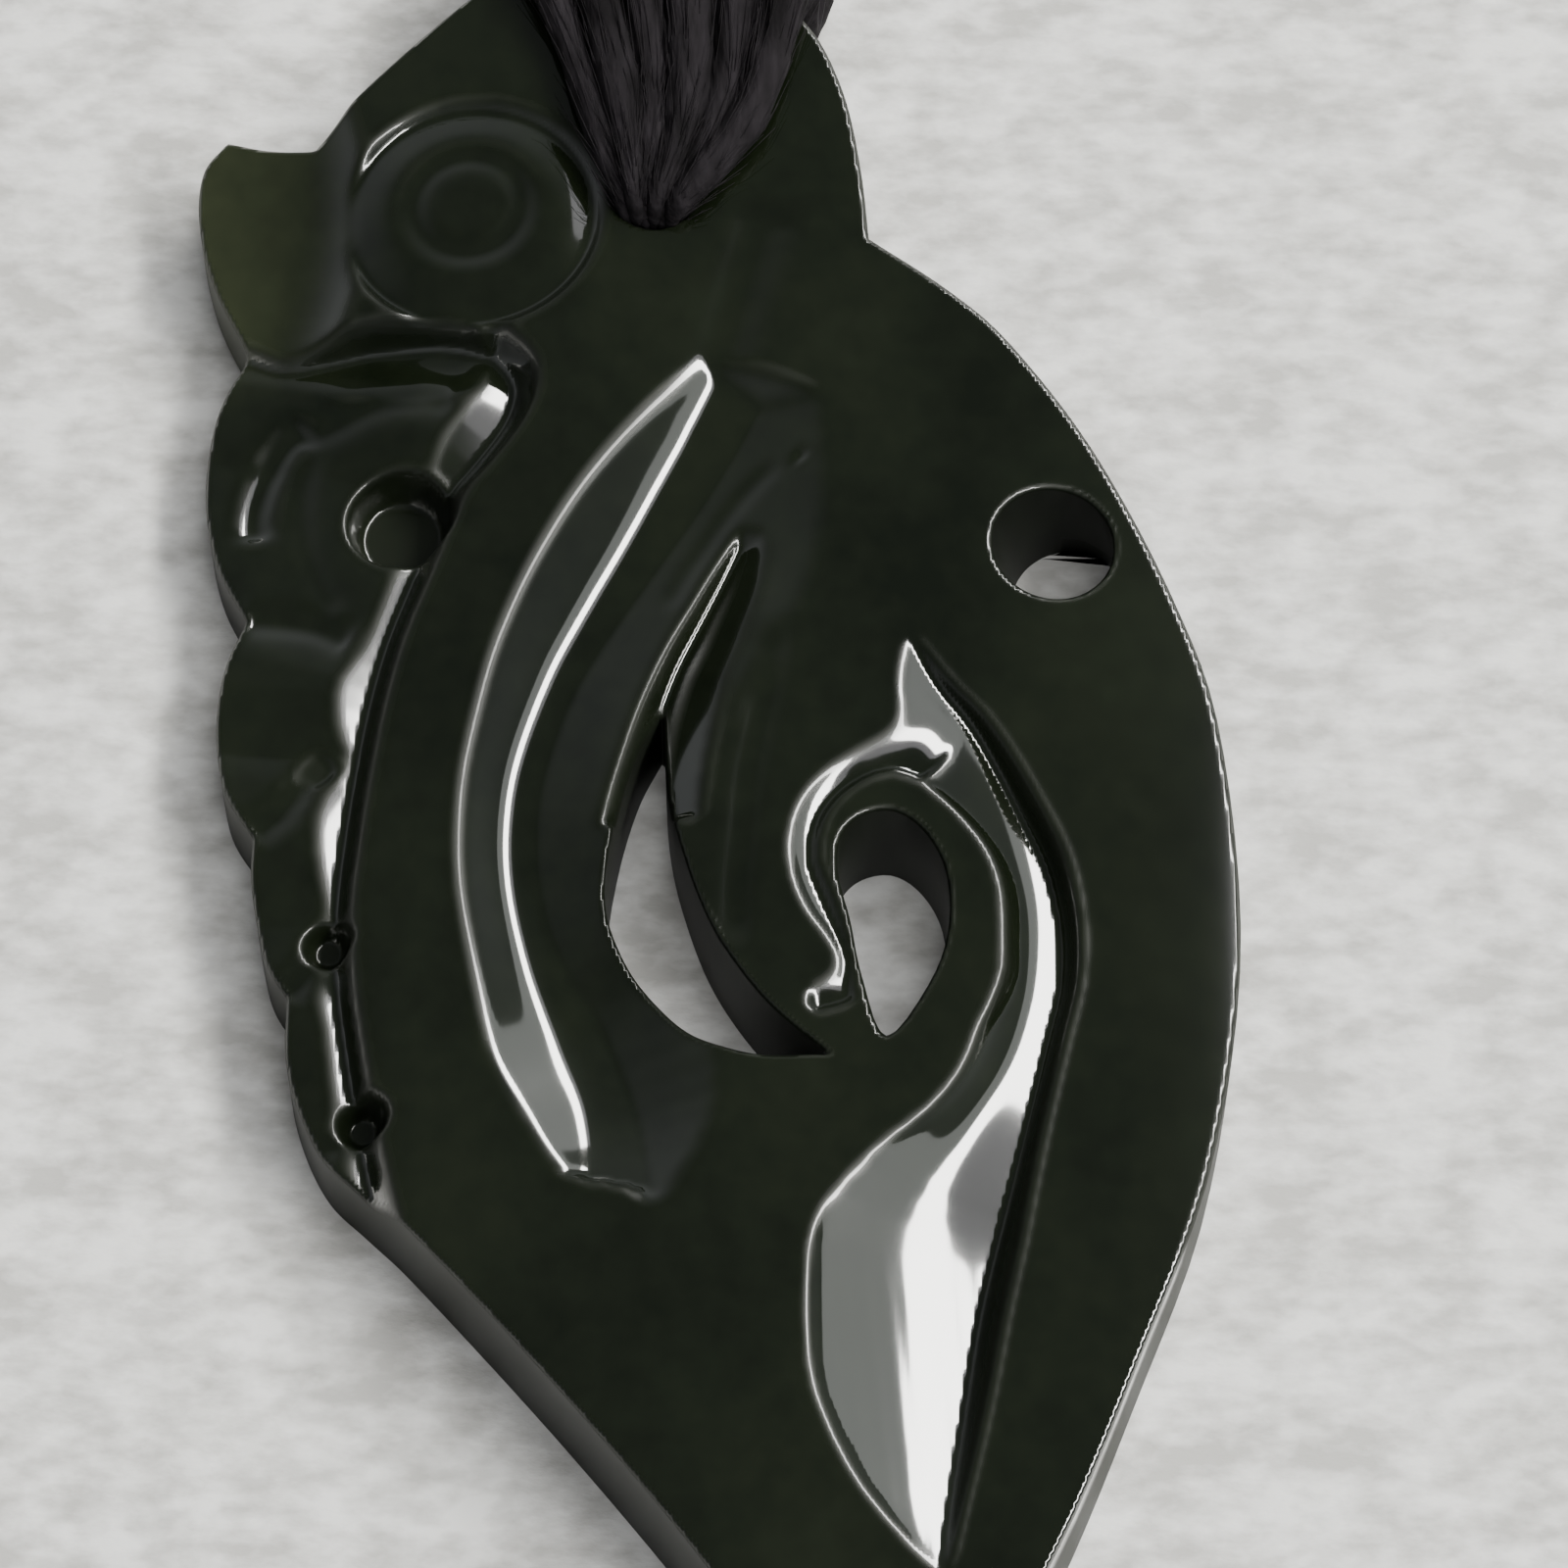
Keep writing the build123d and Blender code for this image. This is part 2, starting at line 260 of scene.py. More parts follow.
def gouge(crease, turn, wall, depths, steep, shallow, reach, wall_degrees=70.0):
    """
    Surface of a hollow: level - depth - fall * past + (fall - rest) * what the turn has added up,
    where level is the front over the turn and past the distance beyond it. Its edges run on up.
    """
    crease, turn, wall = smooth_curve(crease), smooth_curve(turn), smooth_curve(wall)
    from_turn, along = beside(turn)
    from_crease, from_wall = beside(crease)[0], beside(wall)[0]
    outside = within(np.vstack([crease, wall[::-1]])) < 0
    beyond = within(np.vstack([turn, wall[::-1]])) > 0
    past = np.where(beyond | (outside & (from_wall < from_crease)), 1, -1) * from_turn
    fall, rest = slope_along(steep, along), slope_along(shallow, along)
    shares = np.append(0, np.cumsum(np.hypot(*np.diff(turn, axis=0).T)))
    level = np.interp(along, shares / shares[-1], crown(turn[:, 0]))
    floor = level - eased(depths, along) - fall * past + (fall - rest) * turned(past, reach)
    wall_rise = np.tan(np.radians(wall_degrees)) * from_wall
    edge = np.where(from_wall < from_crease, wall_rise, fall * from_crease)
    return surface(polished(floor, FLOOR_ROUNDS) + np.where(outside, edge, 0))


def scratch(path, depth, half_width):
    """How far a soft line lowers a surface: depth * exp(-(distance / half_width)^2), ends faded."""
    distance, along = beside(smooth_curve(path))
    ends = fade(along, 0.0, 0.12) * fade(1 - along, 0.0, 0.12)
    return surface(depth * np.exp(-((distance / half_width) ** 2)) * ends)


# %% [markdown]
# ## The spiral's channel and the flute
# One long hollow starts in a point at the top, goes round the spiral, and widens into the flute
# that runs down to the stone's tip. Its left side is the steep one. Where the channel is narrow the
# turn is short, so the streak is thin there, and in the flute it is broad. A ripple of some two
# thousandths of a millimetre runs along the flute, and splits its streak into fine stripes.

# %% The spiral's channel and the flute below it
channel_crease = [
    (6.7, 4.5), (6.3, 2.8), (5.9, 1.3), (5.6, 0.2), (6.0, -0.7), (7.2, -1.1), (8.5, -2.2),
    (9.5, -3.5), (10.0, -4.9), (10.1, -6.7), (9.9, -8.5), (9.4, -10.3), (8.6, -12.0),
    (7.4, -13.4), (5.8, -14.5), (4.4, -15.7), (3.8, -17.2), (3.7, -18.9), (3.7, -22.4),
    (4.2, -24.0), (5.1, -25.9), (6.4, -27.7), (7.5, -29.3),
]
channel_turn = [
    (6.8, 4.5), (7.7, 2.8), (8.6, 1.7), (9.3, 0.6), (10.1, -1.3), (10.6, -3.2), (10.9, -5.4),
    (10.8, -7.6), (10.4, -9.5), (9.6, -11.5), (8.5, -13.6), (7.5, -15.6), (6.9, -18.1),
    (6.6, -20.5), (6.5, -22.8), (6.7, -25.5), (7.2, -27.7), (7.6, -29.5),
]
blade_wall = [
    (6.8, 4.5), (7.9, 2.6), (8.9, 1.4), (9.7, 0.1), (10.7, -1.9), (11.5, -3.7), (11.9, -5.5),
    (12.0, -6.9), (11.9, -8.4), (11.5, -10.1), (10.9, -12.6), (10.2, -15.4), (9.5, -18.1),
    (9.0, -20.5), (8.5, -23.9), (8.0, -27.3), (7.7, -29.6),
]
flute_reach = 0.45 + 1.4 * fade(-Y, 13.0, 19.0)
channel = gouge(
    channel_crease, channel_turn, blade_wall,
    depths=[0, 0.65, 1.0, 1.05, 0.95, 0.85, 0.75, 0.9, 1.25, 1.25, 1.0, 0.55, 0],
    steep=[19.5, 20.5, 23.5, 25, 28, 32, 36, 28, 22.5, 22, 22, 22, 22],
    shallow=[14.5, 14.5, 14.5, 14.5, 14.5, 15.5, 16.2, 15.0, 14.4, 14, 14], reach=flute_reach,
)
RIPPLE_HEIGHT, RIPPLE_PITCH, RIPPLE_LEAN = 0.0018, 0.7, 0.1
ripple = RIPPLE_HEIGHT * np.sin(2 * np.pi * (X + RIPPLE_LEAN * Y) / RIPPLE_PITCH)
ripple = ripple * fade(-Y, 17.0, 20.0)
channel = channel + surface(ripple)
print("channel", round(float((front - channel[0])[solid > 0].max()), 2), "mm deep")

# %% [markdown]
# ## The hook round the spiral
# The curl's outer edge carries a second, finer hollow, which leaves the channel at the top and goes
# down the curl's left side to the tongue. The curl between the two hollows stays at the front's own
# height, with a steep side. An island in a field of heights is what stays where the higher of two
# surfaces is taken.

# %% The hook, and the curl that it goes round
hook_crease = [
    (6.5, 3.6), (6.3, 2.2), (5.9, 0.9), (5.2, -0.1), (4.1, -1.0), (3.3, -2.0), (2.9, -3.3),
    (3.0, -4.7), (3.5, -6.0), (4.2, -7.0), (4.5, -7.8), (4.2, -8.5), (3.4, -8.9),
]
hook_turn = [
    (7.6, 2.6), (7.3, 1.2), (6.7, 0.2), (5.6, -0.6), (4.6, -1.2), (3.8, -2.1), (3.4, -3.2),
    (3.4, -4.5), (3.8, -5.7), (4.5, -6.7), (5.0, -7.8), (4.6, -8.7), (3.5, -9.2),
]
hook_wall = [
    (8.6, 1.6), (8.2, 0.2), (7.2, -0.9), (6.1, -1.1), (5.0, -1.4), (4.2, -2.1), (3.75, -3.1),
    (3.7, -4.3), (4.1, -5.4), (4.8, -6.4), (5.4, -7.6), (5.0, -9.0), (3.6, -9.6),
]
hook = gouge(
    hook_crease, hook_turn, hook_wall, depths=[0.1, 0.25, 0.3, 0.28, 0.28, 0.28, 0.2],
    steep=[24, 23, 24, 26, 26], shallow=[14, 12], reach=0.45, wall_degrees=78.0,
)

spiral_edge = [
    (6.1, -0.8), (7.2, -1.1), (8.5, -2.2), (9.5, -3.5), (10.0, -4.9), (10.1, -6.7), (9.9, -8.5),
    (8.5, -11.0), (6.0, -11.5), (5.0, -9.5), (4.8, -7.6), (4.1, -5.4), (3.7, -4.3), (3.75, -3.1),
    (4.2, -2.1), (5.0, -1.3),
]
SPIRAL_WALL = 3.5
in_spiral = within(smooth_curve(spiral_edge, closed=True)[:-1])
spiral_side = surface(front + SPIRAL_WALL * np.minimum(in_spiral, 0))
around_spiral = higher_of(lower_of(channel, hook, reach=0.25), spiral_side)
stone = lower_of(surface(front), around_spiral)
print("curl", int((in_spiral > 0).sum() * STEP**2), "mm2")

# %% [markdown]
# ## The groove between the ridge and the second band
# The main ridge sweeps from the lashing down the stone's left side, and this groove parts it from
# the band beside it. It fades out towards the top, and ends below in a scoop with a blunt end.

# %% The groove between the ridge and the second band
ridge_edge = [
    (0.7, 21.7), (-0.1, 19.4), (-1.1, 17.4), (-2.8, 14.7), (-4.5, 12.1), (-5.9, 9.0), (-7.1, 6.1),
    (-7.8, 2.7), (-8.3, -0.6), (-8.5, -3.5), (-8.3, -6.4), (-8.0, -9.2), (-7.5, -12.0),
    (-6.9, -14.1), (-6.4, -15.2),
]
groove_turn = [
    (1.8, 20.6), (1.4, 18.2), (0.8, 15.8), (-0.1, 13.5), (-1.0, 11.7), (-2.1, 9.7), (-3.5, 7.2),
    (-4.8, 4.8), (-5.7, 2.8), (-6.4, 0.6), (-6.8, -1.3), (-6.9, -3.4), (-6.7, -5.2), (-6.2, -7.1),
    (-5.6, -8.8), (-4.8, -10.5), (-4.1, -12.2), (-3.8, -13.9), (-3.6, -16.6),
]
band_edge = [
    (3.2, 19.6), (3.0, 17.4), (2.4, 15.2), (1.5, 12.9), (0.1, 10.4), (-1.7, 7.6), (-3.2, 5.2),
    (-4.4, 3.0), (-5.2, 0.8), (-5.7, -1.3), (-5.8, -3.4), (-5.6, -5.0), (-5.2, -6.6),
    (-4.5, -8.2), (-3.6, -9.6), (-2.8, -11.4), (-2.2, -13.4), (-1.8, -16.0),
]
groove = gouge(
    ridge_edge, groove_turn, band_edge,
    depths=[0.1, 0.25, 0.6, 1.15, 1.5, 1.55, 1.4, 1.2, 1.1, 1.1, 1.1, 1.2, 0.9, 0.1],
    steep=[34, 34, 34, 34, 34, 34, 34, 34, 34, 33, 28, 23, 22, 20],
    shallow=[8, 8, 8, 9, 9, 9, 9, 9, 9, 9, 8, 6, 4, 2], reach=0.6, wall_degrees=26.0,
)
GROOVE_END, END_LEAN, END_DEGREES = 15.3, 0.45, 40.0
end_rise = np.tan(np.radians(END_DEGREES)) * (Y + END_LEAN * X - GROOVE_END)
valley_line = [(2.2, 21.4), (1.2, 18.0), (0.2, 14.4), (-1.6, 10.6)]
valley = surface(front) - scratch(valley_line, depth=0.3, half_width=1.1)
groove = lower_of(higher_of(groove, surface(front + end_rise), reach=0.3), valley, reach=0.2)
stone = lower_of(stone, groove)
print("groove", round(float((front - groove[0])[solid > 0].max()), 2), "mm deep")

# %% [markdown]
# ## The recess
# Above the crescent opening the stone is cut back in a deep notch with two steep walls, which runs
# into the opening. The band beside it leans a little towards the notch, and a shallow line follows
# its rim.

# %% The recess above the crescent
recess_left = [
    (1.6, 9.9), (0.7, 8.9), (-0.2, 7.6), (-1.0, 6.1), (-1.8, 4.4), (-2.4, 2.4), (-2.9, 0.2),
    (-3.6, -2.6),
]
recess_right = [
    (1.7, 9.9), (2.8, 8.6), (2.6, 6.6), (1.7, 4.2), (0.8, 2.2), (0.2, 0.2), (-0.2, -2.6),
]
BAND_TILT, LEFT_DEGREES, RIGHT_DEGREES = 13.6, 52.0, 40.0
RECESS_FOOT, OUT_OF_REACH = -3.0, 3.0
band_rim = smooth_curve(band_edge[3:14])
band_room = within(np.vstack([band_rim, smooth_curve([(3.4, 11.2)] + recess_left)[::-1]]))
band_tilt = surface(front - np.tan(np.radians(BAND_TILT)) * beside(band_rim)[0])
stone = np.where(band_room > 0, lower_of(stone, band_tilt), stone)
left_points, right_points = smooth_curve(recess_left), smooth_curve(recess_right)
recess_room = within(np.vstack([left_points, right_points[::-1]]))
outside_recess = np.where(recess_room > 0, -1, 1)
left_rise = np.tan(np.radians(LEFT_DEGREES)) * outside_recess * beside(left_points)[0]
right_rise = np.tan(np.radians(RIGHT_DEGREES)) * outside_recess * beside(right_points)[0]
left_wall = surface(np.minimum(front, band_tilt[0]) + left_rise)
recess = higher_of(left_wall, surface(front + right_rise))
recess = np.where(Y > RECESS_FOOT, recess, surface(front + OUT_OF_REACH))
stone = lower_of(stone, recess, reach=0.06)
rim_line = [(2.7, 11.0), (2.0, 10.7), (1.1, 9.8), (0.1, 8.4), (-0.9, 6.8), (-1.4, 5.6)]
stone = stone - scratch(rim_line, depth=0.075, half_width=0.34)
print("recess", int((recess_room > 0).sum() * STEP**2), "mm2")

# %% [markdown]
# ## The tongue's line
# The tongue, which lies to the right of the crescent opening, carries one soft line down its length.

# %% The tongue's line
tongue_line = [(2.6, 5.2), (2.2, 3.1), (1.8, 1.0), (1.4, -1.0), (1.2, -3.2), (1.0, -5.3), (1.0, -7.8)]
stone = stone - scratch(tongue_line, depth=0.17, half_width=0.6)

# %% [markdown]
# ## The fringe and the jaw
# The left side below the head is a row of scallops, cut down well below the ridge, whose steep wall
# stands beside them. Each scallop rises from the ridge's foot to a crest and falls to its edge. The
# jaw is the topmost one, with a line for its lip and another along its left side.

# %% The fringe, the jaw and the walls beside them
mouth_line = [
    (-17.5, 16.0), (-16.1, 15.9), (-14.8, 15.4), (-13.3, 15.6), (-11.6, 16.0), (-9.6, 16.1),
    (-8.4, 15.9), (-7.5, 15.6),
]
fringe_line = [
    (-7.5, 15.6), (-6.9, 14.9), (-6.7, 14.1), (-7.1, 12.9), (-8.1, 11.4), (-9.0, 10.1),
    (-10.0, 7.2), (-10.9, 4.6), (-11.5, 2.0), (-11.9, -0.6), (-12.2, -3.1), (-12.4, -5.6),
    (-12.3, -8.1), (-12.0, -10.3), (-11.6, -12.7), (-11.1, -15.2), (-10.7, -16.9),
]
fringe_crest = [
    (-7.7, 15.6), (-7.9, 14.6), (-8.5, 13.6), (-9.2, 12.5), (-9.6, 11.3), (-9.8, 10.1),
    (-10.9, 7.0), (-11.7, 4.6), (-12.6, 3.0), (-12.6, 1.5), (-12.3, 0.2), (-13.1, -1.4),
    (-13.2, -3.2), (-12.8, -5.6), (-13.1, -7.9), (-12.75, -9.7), (-12.4, -12.2), (-12.0, -14.1),
    (-11.4, -16.4),
]
FRINGE_FLOOR, FRINGE_DEGREES, SCALLOP_DEGREES, CREST_REACH = 3.75, 18.5, 8.0, 0.15
RIDGE_WALL_DEGREES, HEAD_WALL_DEGREES = 62.0, 68.0
FAR_LEFT, HIGH_LEFT = [(-25.0, -20.0), (-25.0, 35.0)], [(-25.0, -20.0), (-25.0, 16.0)]
line_points, mouth_points = smooth_curve(fringe_line), smooth_curve(mouth_line)
from_line, from_mouth = beside(line_points)[0], beside(mouth_points)[0]
below_head = within(np.vstack([mouth_points, line_points[1:], HIGH_LEFT])) > 0
crest_points = smooth_curve(fringe_crest)
over_crest = np.where(within(np.vstack([crest_points, FAR_LEFT])) > 0, 1, -1)
beyond_crest = over_crest * beside(crest_points)[0]
rise, fall = np.tan(np.radians([FRINGE_DEGREES, SCALLOP_DEGREES]))
past_crest = turned(beyond_crest, CREST_REACH)
scallops = surface(FRINGE_FLOOR + rise * from_line - (rise + fall) * past_crest)

lip = [(-14.4, 12.5), (-13.3, 12.9), (-11.6, 13.7), (-9.9, 13.9), (-8.6, 13.6)]
scallops = scallops - scratch(lip, depth=0.14, half_width=0.5)
jaw_line = [(-13.8, 13.4), (-14.6, 12.5), (-15.2, 11.4), (-15.6, 10.0), (-15.6, 8.6)]
scallops = scallops - scratch(jaw_line, depth=0.33, half_width=0.55)
cheek_line = [(-13.6, 12.4), (-14.0, 10.8), (-14.0, 9.2), (-13.5, 7.4), (-12.6, 5.6)]
scallops = scallops - scratch(cheek_line, depth=0.1, half_width=0.45)

ridge_wall = surface(FRINGE_FLOOR + np.tan(np.radians(RIDGE_WALL_DEGREES)) * from_line)
head_wall = surface(scallops[0] + np.tan(np.radians(HEAD_WALL_DEGREES)) * from_mouth)
stone = lower_of(stone, np.where(below_head, scallops, lower_of(ridge_wall, head_wall)))

notches = [
    [(-15.9, 5.7), (-13.6, 5.3), (-12.1, 4.6)],
    [(-15.4, -2.6), (-14.3, -1.7), (-13.3, -0.1)],
    [(-14.1, -8.5), (-13.4, -7.8), (-12.7, -6.7)],
    [(-13.2, -14.0), (-12.2, -13.8), (-11.4, -13.1)],
]
for notch in notches:
    stone = stone - scratch(notch, depth=0.2, half_width=0.55)
print("fringe", int((below_head & (solid > 0)).sum() * STEP**2), "mm2")

# %% [markdown]
# ## The eye
# A tubular drill leaves a ring, and the carver rounds what stands inside it to a low ball. So the
# eye is worked out from one number, the distance from its middle: level first, then a smooth turn
# down to the ring, then the socket's side going up again. A finer ring round the pupil is a soft
# line that follows a circle.

# %% The eye
EYE_PLACE, EYE_RADIUS, EYE_STRETCH = (-8.3, 20.7), 4.2, 1.024
PUPIL_PLACE, PUPIL_RADIUS = (-8.4, 21.0), 1.9
BALL_DEGREES, BALL_TURN, BALL_REACH, SOCKET_DEGREES = 18.3, 2.9, 0.7, 50.0
PUPIL_DEPTH, PUPIL_LINE = 0.16, 0.45
from_eye = np.hypot((X - EYE_PLACE[0]) / EYE_STRETCH, Y - EYE_PLACE[1])
ball_slope = np.tan(np.radians(BALL_DEGREES))
ball_depth = ball_slope * turned(np.minimum(from_eye, EYE_RADIUS) - BALL_TURN, BALL_REACH)
socket_rise = np.tan(np.radians(SOCKET_DEGREES)) * np.maximum(from_eye - EYE_RADIUS, 0)
stone = lower_of(stone, surface(front - ball_depth + socket_rise))
from_pupil = np.hypot(X - PUPIL_PLACE[0], Y - PUPIL_PLACE[1]) - PUPIL_RADIUS
stone = stone - surface(PUPIL_DEPTH * np.exp(-((from_pupil / PUPIL_LINE) ** 2)))
print("eye", round(float(ball_depth.max()), 2), "mm deep")

# %% [markdown]
# ## The beak
# The beak's tip is thinner than the head, so the head slopes down to it. The slope starts gently,
# as the logarithm of 1 + e^x does, and its foot is bent a little towards the tip.

# %% The beak
BEAK_HEIGHT, BEAK_RISE = 3.7, 0.9
BEAK_SOFTNESS, BEAK_FOOT, BEAK_BEND, BEAK_MIDDLE, HEAD_FOOT = 2.2, -13.2, 0.03, 21.0, 14.0
from_beak = X - BEAK_FOOT + BEAK_BEND * (Y - BEAK_MIDDLE) ** 2
rising = BEAK_RISE * np.logaddexp(0, BEAK_SOFTNESS * from_beak) / BEAK_SOFTNESS
in_head = (Y > HEAD_FOOT) & ~below_head
beak = np.where(in_head, surface(BEAK_HEIGHT + rising), surface(front + OUT_OF_REACH))
stone = lower_of(stone, beak, reach=0.2)
print("beak", BEAK_HEIGHT, "mm thick")

# %% [markdown]
# ## Pits and the jaw's hollow
# A small drill makes these, so each has a flat floor and a steep, straight side. The jaw's hollow
# is the widest and deepest, and the three pits lie in the fringe's notches.

# %% Drilled hollows
HOLLOW_TOP, HOLLOW_SIDE = 4.2, 6.0
FLOOR_INSET = 0.15
hollows = [
    ((-10.6, 9.4), 1.65, 2.0),
    ((-13.2, -0.1), 0.7, 0.5),
    ((-12.7, -6.6), 0.75, 1.2),
    ((-11.4, -13.1), 0.75, 1.2),
]
for middle, radius, depth in hollows:
    beyond_floor = np.maximum(from_circle(middle, radius) + FLOOR_INSET, 0)
    stone = lower_of(stone, surface(HOLLOW_TOP - depth + HOLLOW_SIDE * beyond_floor))
print("hollows", len(hollows))

# %% [markdown]
# ## The last polish
# The carver ends with finer and finer grits, which wear every crease a little. A blur of the whole
# field does the same: each point takes a share of its neighbours' heights.

# %% The last polish
stone = surface(polished(stone[0], LAST_ROUNDS))
print("deepest", round(float((front - stone[0])[solid > 0].max()), 2), "mm")

# %% [markdown]
# ## From heights to a mesh
# The grid's squares inside the edge become the front. A grid's own edge is a staircase, so its
# outermost corners are drawn onto the true edge, by the distance field and its slope. A rim is a
# side of a square that no other square shares, and each one keeps the stone on its left.

# %% Squares inside the edge
LEAST_SLOPE = 0.25


def sampled(field, x, y):
    """Value of a grid field at any place, weighted between the four points around it."""
    column = np.clip((x - X[0, 0]) / STEP, 0, X.shape[0] - 1.001)
    row = np.clip((y - Y[0, 0]) / STEP, 0, X.shape[1] - 1.001)
    a, b = column.astype(int), row.astype(int)
    u, v = column - a, row - b
    near = field[a, b] * (1 - u) + field[a + 1, b] * u
    far = field[a, b + 1] * (1 - u) + field[a + 1, b + 1] * u
    return near * (1 - v) + far * v


corner_sum = solid[:-1, :-1] + solid[1:, :-1] + solid[:-1, 1:] + solid[1:, 1:]
column, row = np.nonzero(corner_sum > 0)
grid_number = np.arange(X.size).reshape(X.shape)
squares = np.stack([
    grid_number[column, row], grid_number[column + 1, row],
    grid_number[column + 1, row + 1], grid_number[column, row + 1],
], 1)

square_sides = np.concatenate([squares[:, [a, (a + 1) % 4]] for a in range(4)])
this_way = square_sides[:, 0] * X.size + square_sides[:, 1]
other_way = square_sides[:, 1] * X.size + square_sides[:, 0]
rim = square_sides[~np.isin(this_way, other_way)]
rim_points = np.unique(rim)

x, y = X.ravel().copy(), Y.ravel().copy()
slope_x, slope_y = np.gradient(solid, STEP)
for _ in range(3):
    px, py = x[rim_points], y[rim_points]
    gx, gy = sampled(slope_x, px, py), sampled(slope_y, px, py)
    pull = sampled(solid, px, py) / np.maximum(gx**2 + gy**2, LEAST_SLOPE)
    x[rim_points], y[rim_points] = px - pull * gx, py - pull * gy
print("squares", len(squares), "with", len(rim_points), "points on the rim")

# %% [markdown]
# ## The rounded edge, and where light bends
# A real edge is never sharp: the front rounds over by a fraction of a millimetre. Its height there
# is a quarter circle. The mesh is too coarse to bend light well by itself, so each corner is also
# given its own normal, straight from the slopes of the height field.

# %% The front's heights and normals
RIM_RADIUS = 0.15
STEEPEST = 0.1

to_edge = np.clip(sampled(solid, x, y), 0, RIM_RADIUS)
to_edge[rim_points] = 0
arch = np.sqrt(RIM_RADIUS**2 - (RIM_RADIUS - to_edge) ** 2)
z = sampled(stone[0], x, y) - (RIM_RADIUS - arch)
edge_x, edge_y = sampled(slope_x, x, y), sampled(slope_y, x, y)
bend = (RIM_RADIUS - to_edge) / np.maximum(arch, STEEPEST * RIM_RADIUS)
normals = np.stack(
    [
        -sampled(stone[1], x, y) - bend * edge_x,
        -sampled(stone[2], x, y) - bend * edge_y,
        np.ones(X.size),
    ], 1,
)
normals /= np.linalg.norm(normals, axis=1)[:, None]
print("normals", normals.shape)

# %% [markdown]
# ## The walls and the back
# The stone's sides and its openings' sides are sawn straight down, apart from the drilled hole's,
# which leans. From each corner on the rim a column of points goes down to the back, which is flat
# and rises a little behind the lashing. One sheet of triangles closes the back, and those that
# would lie over an opening are left out.

# %% The walls and the back
WALL_LEVELS = 4
BACK_RISE_START, BACK_RISE_DEGREES = 13.15, 8.0
DRILL_LEAN_DEGREES, DRILL_SURROUND = 9.0, 0.3

used = np.unique(squares)
order = np.full(X.size, -1)
order[used] = np.arange(len(used))
top = np.stack([x[used], y[used], z[used]], 1)

ring = order[rim_points]
ring_of = np.full(len(used), -1)
ring_of[ring] = np.arange(len(ring))
foot = top[ring].copy()
foot[:, 2] = np.maximum(foot[:, 1] - BACK_RISE_START, 0) * np.tan(np.radians(BACK_RISE_DEGREES))
from_drill = np.hypot(foot[:, 0] - DRILL_PLACE[0], foot[:, 1] - DRILL_PLACE[1])
by_drill = from_drill < DRILL_RADIUS + DRILL_SURROUND
drill_drop = top[ring][by_drill, 2] - foot[by_drill, 2]
foot[by_drill, 0] += np.tan(np.radians(DRILL_LEAN_DEGREES)) * drill_drop
levels = [
    top[ring] + (foot - top[ring]) * level / WALL_LEVELS for level in range(1, WALL_LEVELS + 1)
]
points = np.concatenate([top] + levels)

# Each ring point's number at the top, then its number at each level of the wall.
below = [len(used) + level * len(ring) + np.arange(len(ring)) for level in range(WALL_LEVELS)]
down = np.stack([ring] + below, 1)
wall_start, wall_end = ring_of[order[rim[:, 0]]], ring_of[order[rim[:, 1]]]
walls = np.concatenate([
    np.stack([down[wall_end, k], down[wall_start, k], down[wall_start, k + 1],
              down[wall_end, k + 1]], 1)
    for k in range(WALL_LEVELS)
])

foot_places = list(map(Vector, foot[:, :2]))
borders = np.stack([wall_end, wall_start], 1).tolist()
triangles = np.array(geometry.delaunay_2d_cdt(foot_places, borders, [], 0, 1e-9)[2])
triangles = triangles[triangles.max(1) < len(foot)]
centres = foot[triangles].mean(1)
under_stone = sampled(solid, centres[:, 0], centres[:, 1]) > 0
back = down[:, -1][triangles[under_stone]]
print("walls", len(walls), "back", len(back))

# %% [markdown]
# ## The carved stone's object
# Faces alone would shade the stone flat or too round, so the normals worked out above go on every
# face's corners: the slopes' own on the front, straight outwards on the walls, and down on the back.

# %% The carved stone's object
def mesh_object(name, points_mm, faces):
    """A new object in metres from points in millimetres and one list of faces."""
    mesh = bpy.data.meshes.new(name)
    mesh.from_pydata((points_mm * MM).tolist(), [], faces)
    mesh.validate()
    mesh.polygons.foreach_set("use_smooth", [True] * len(mesh.polygons))
    made = bpy.data.objects.new(name, mesh)
    bpy.context.scene.collection.objects.link(made)
    return made


carving = mesh_object(
    "carved_stone", points, order[squares].tolist() + walls.tolist() + back[:, ::-1].tolist()
)
outward = -np.stack([edge_x, edge_y, np.zeros(X.size)], 1)[rim_points]
outward /= np.linalg.norm(outward, axis=1)[:, None]
wall_corners = np.stack([wall_end, wall_start, wall_start, wall_end], 1)
wall_corners = np.tile(wall_corners, (WALL_LEVELS, 1))
corner_normals = np.concatenate([
    normals[squares].reshape(-1, 3),
    outward[wall_corners].reshape(-1, 3),
    np.tile([(0.0, 0.0, -1.0)], (back.size, 1)),
])
assert len(corner_normals) == len(carving.data.loops)
carving.data.normals_split_custom_set(corner_normals.tolist())
print("stone", len(carving.data.polygons), "faces")

# %% [markdown]
# ## Where the polish is worn
# In the photo the front and the gouges are glossy, the drilled hollows less so, and the creases that
# stand out hardly catch the light. The sawn sides are taken as dull. Each corner carries how
# polished it is, from 0 to 1, and the material reads it. A crease that stands out shows in the field
# as a place whose slopes change fast and downwards.

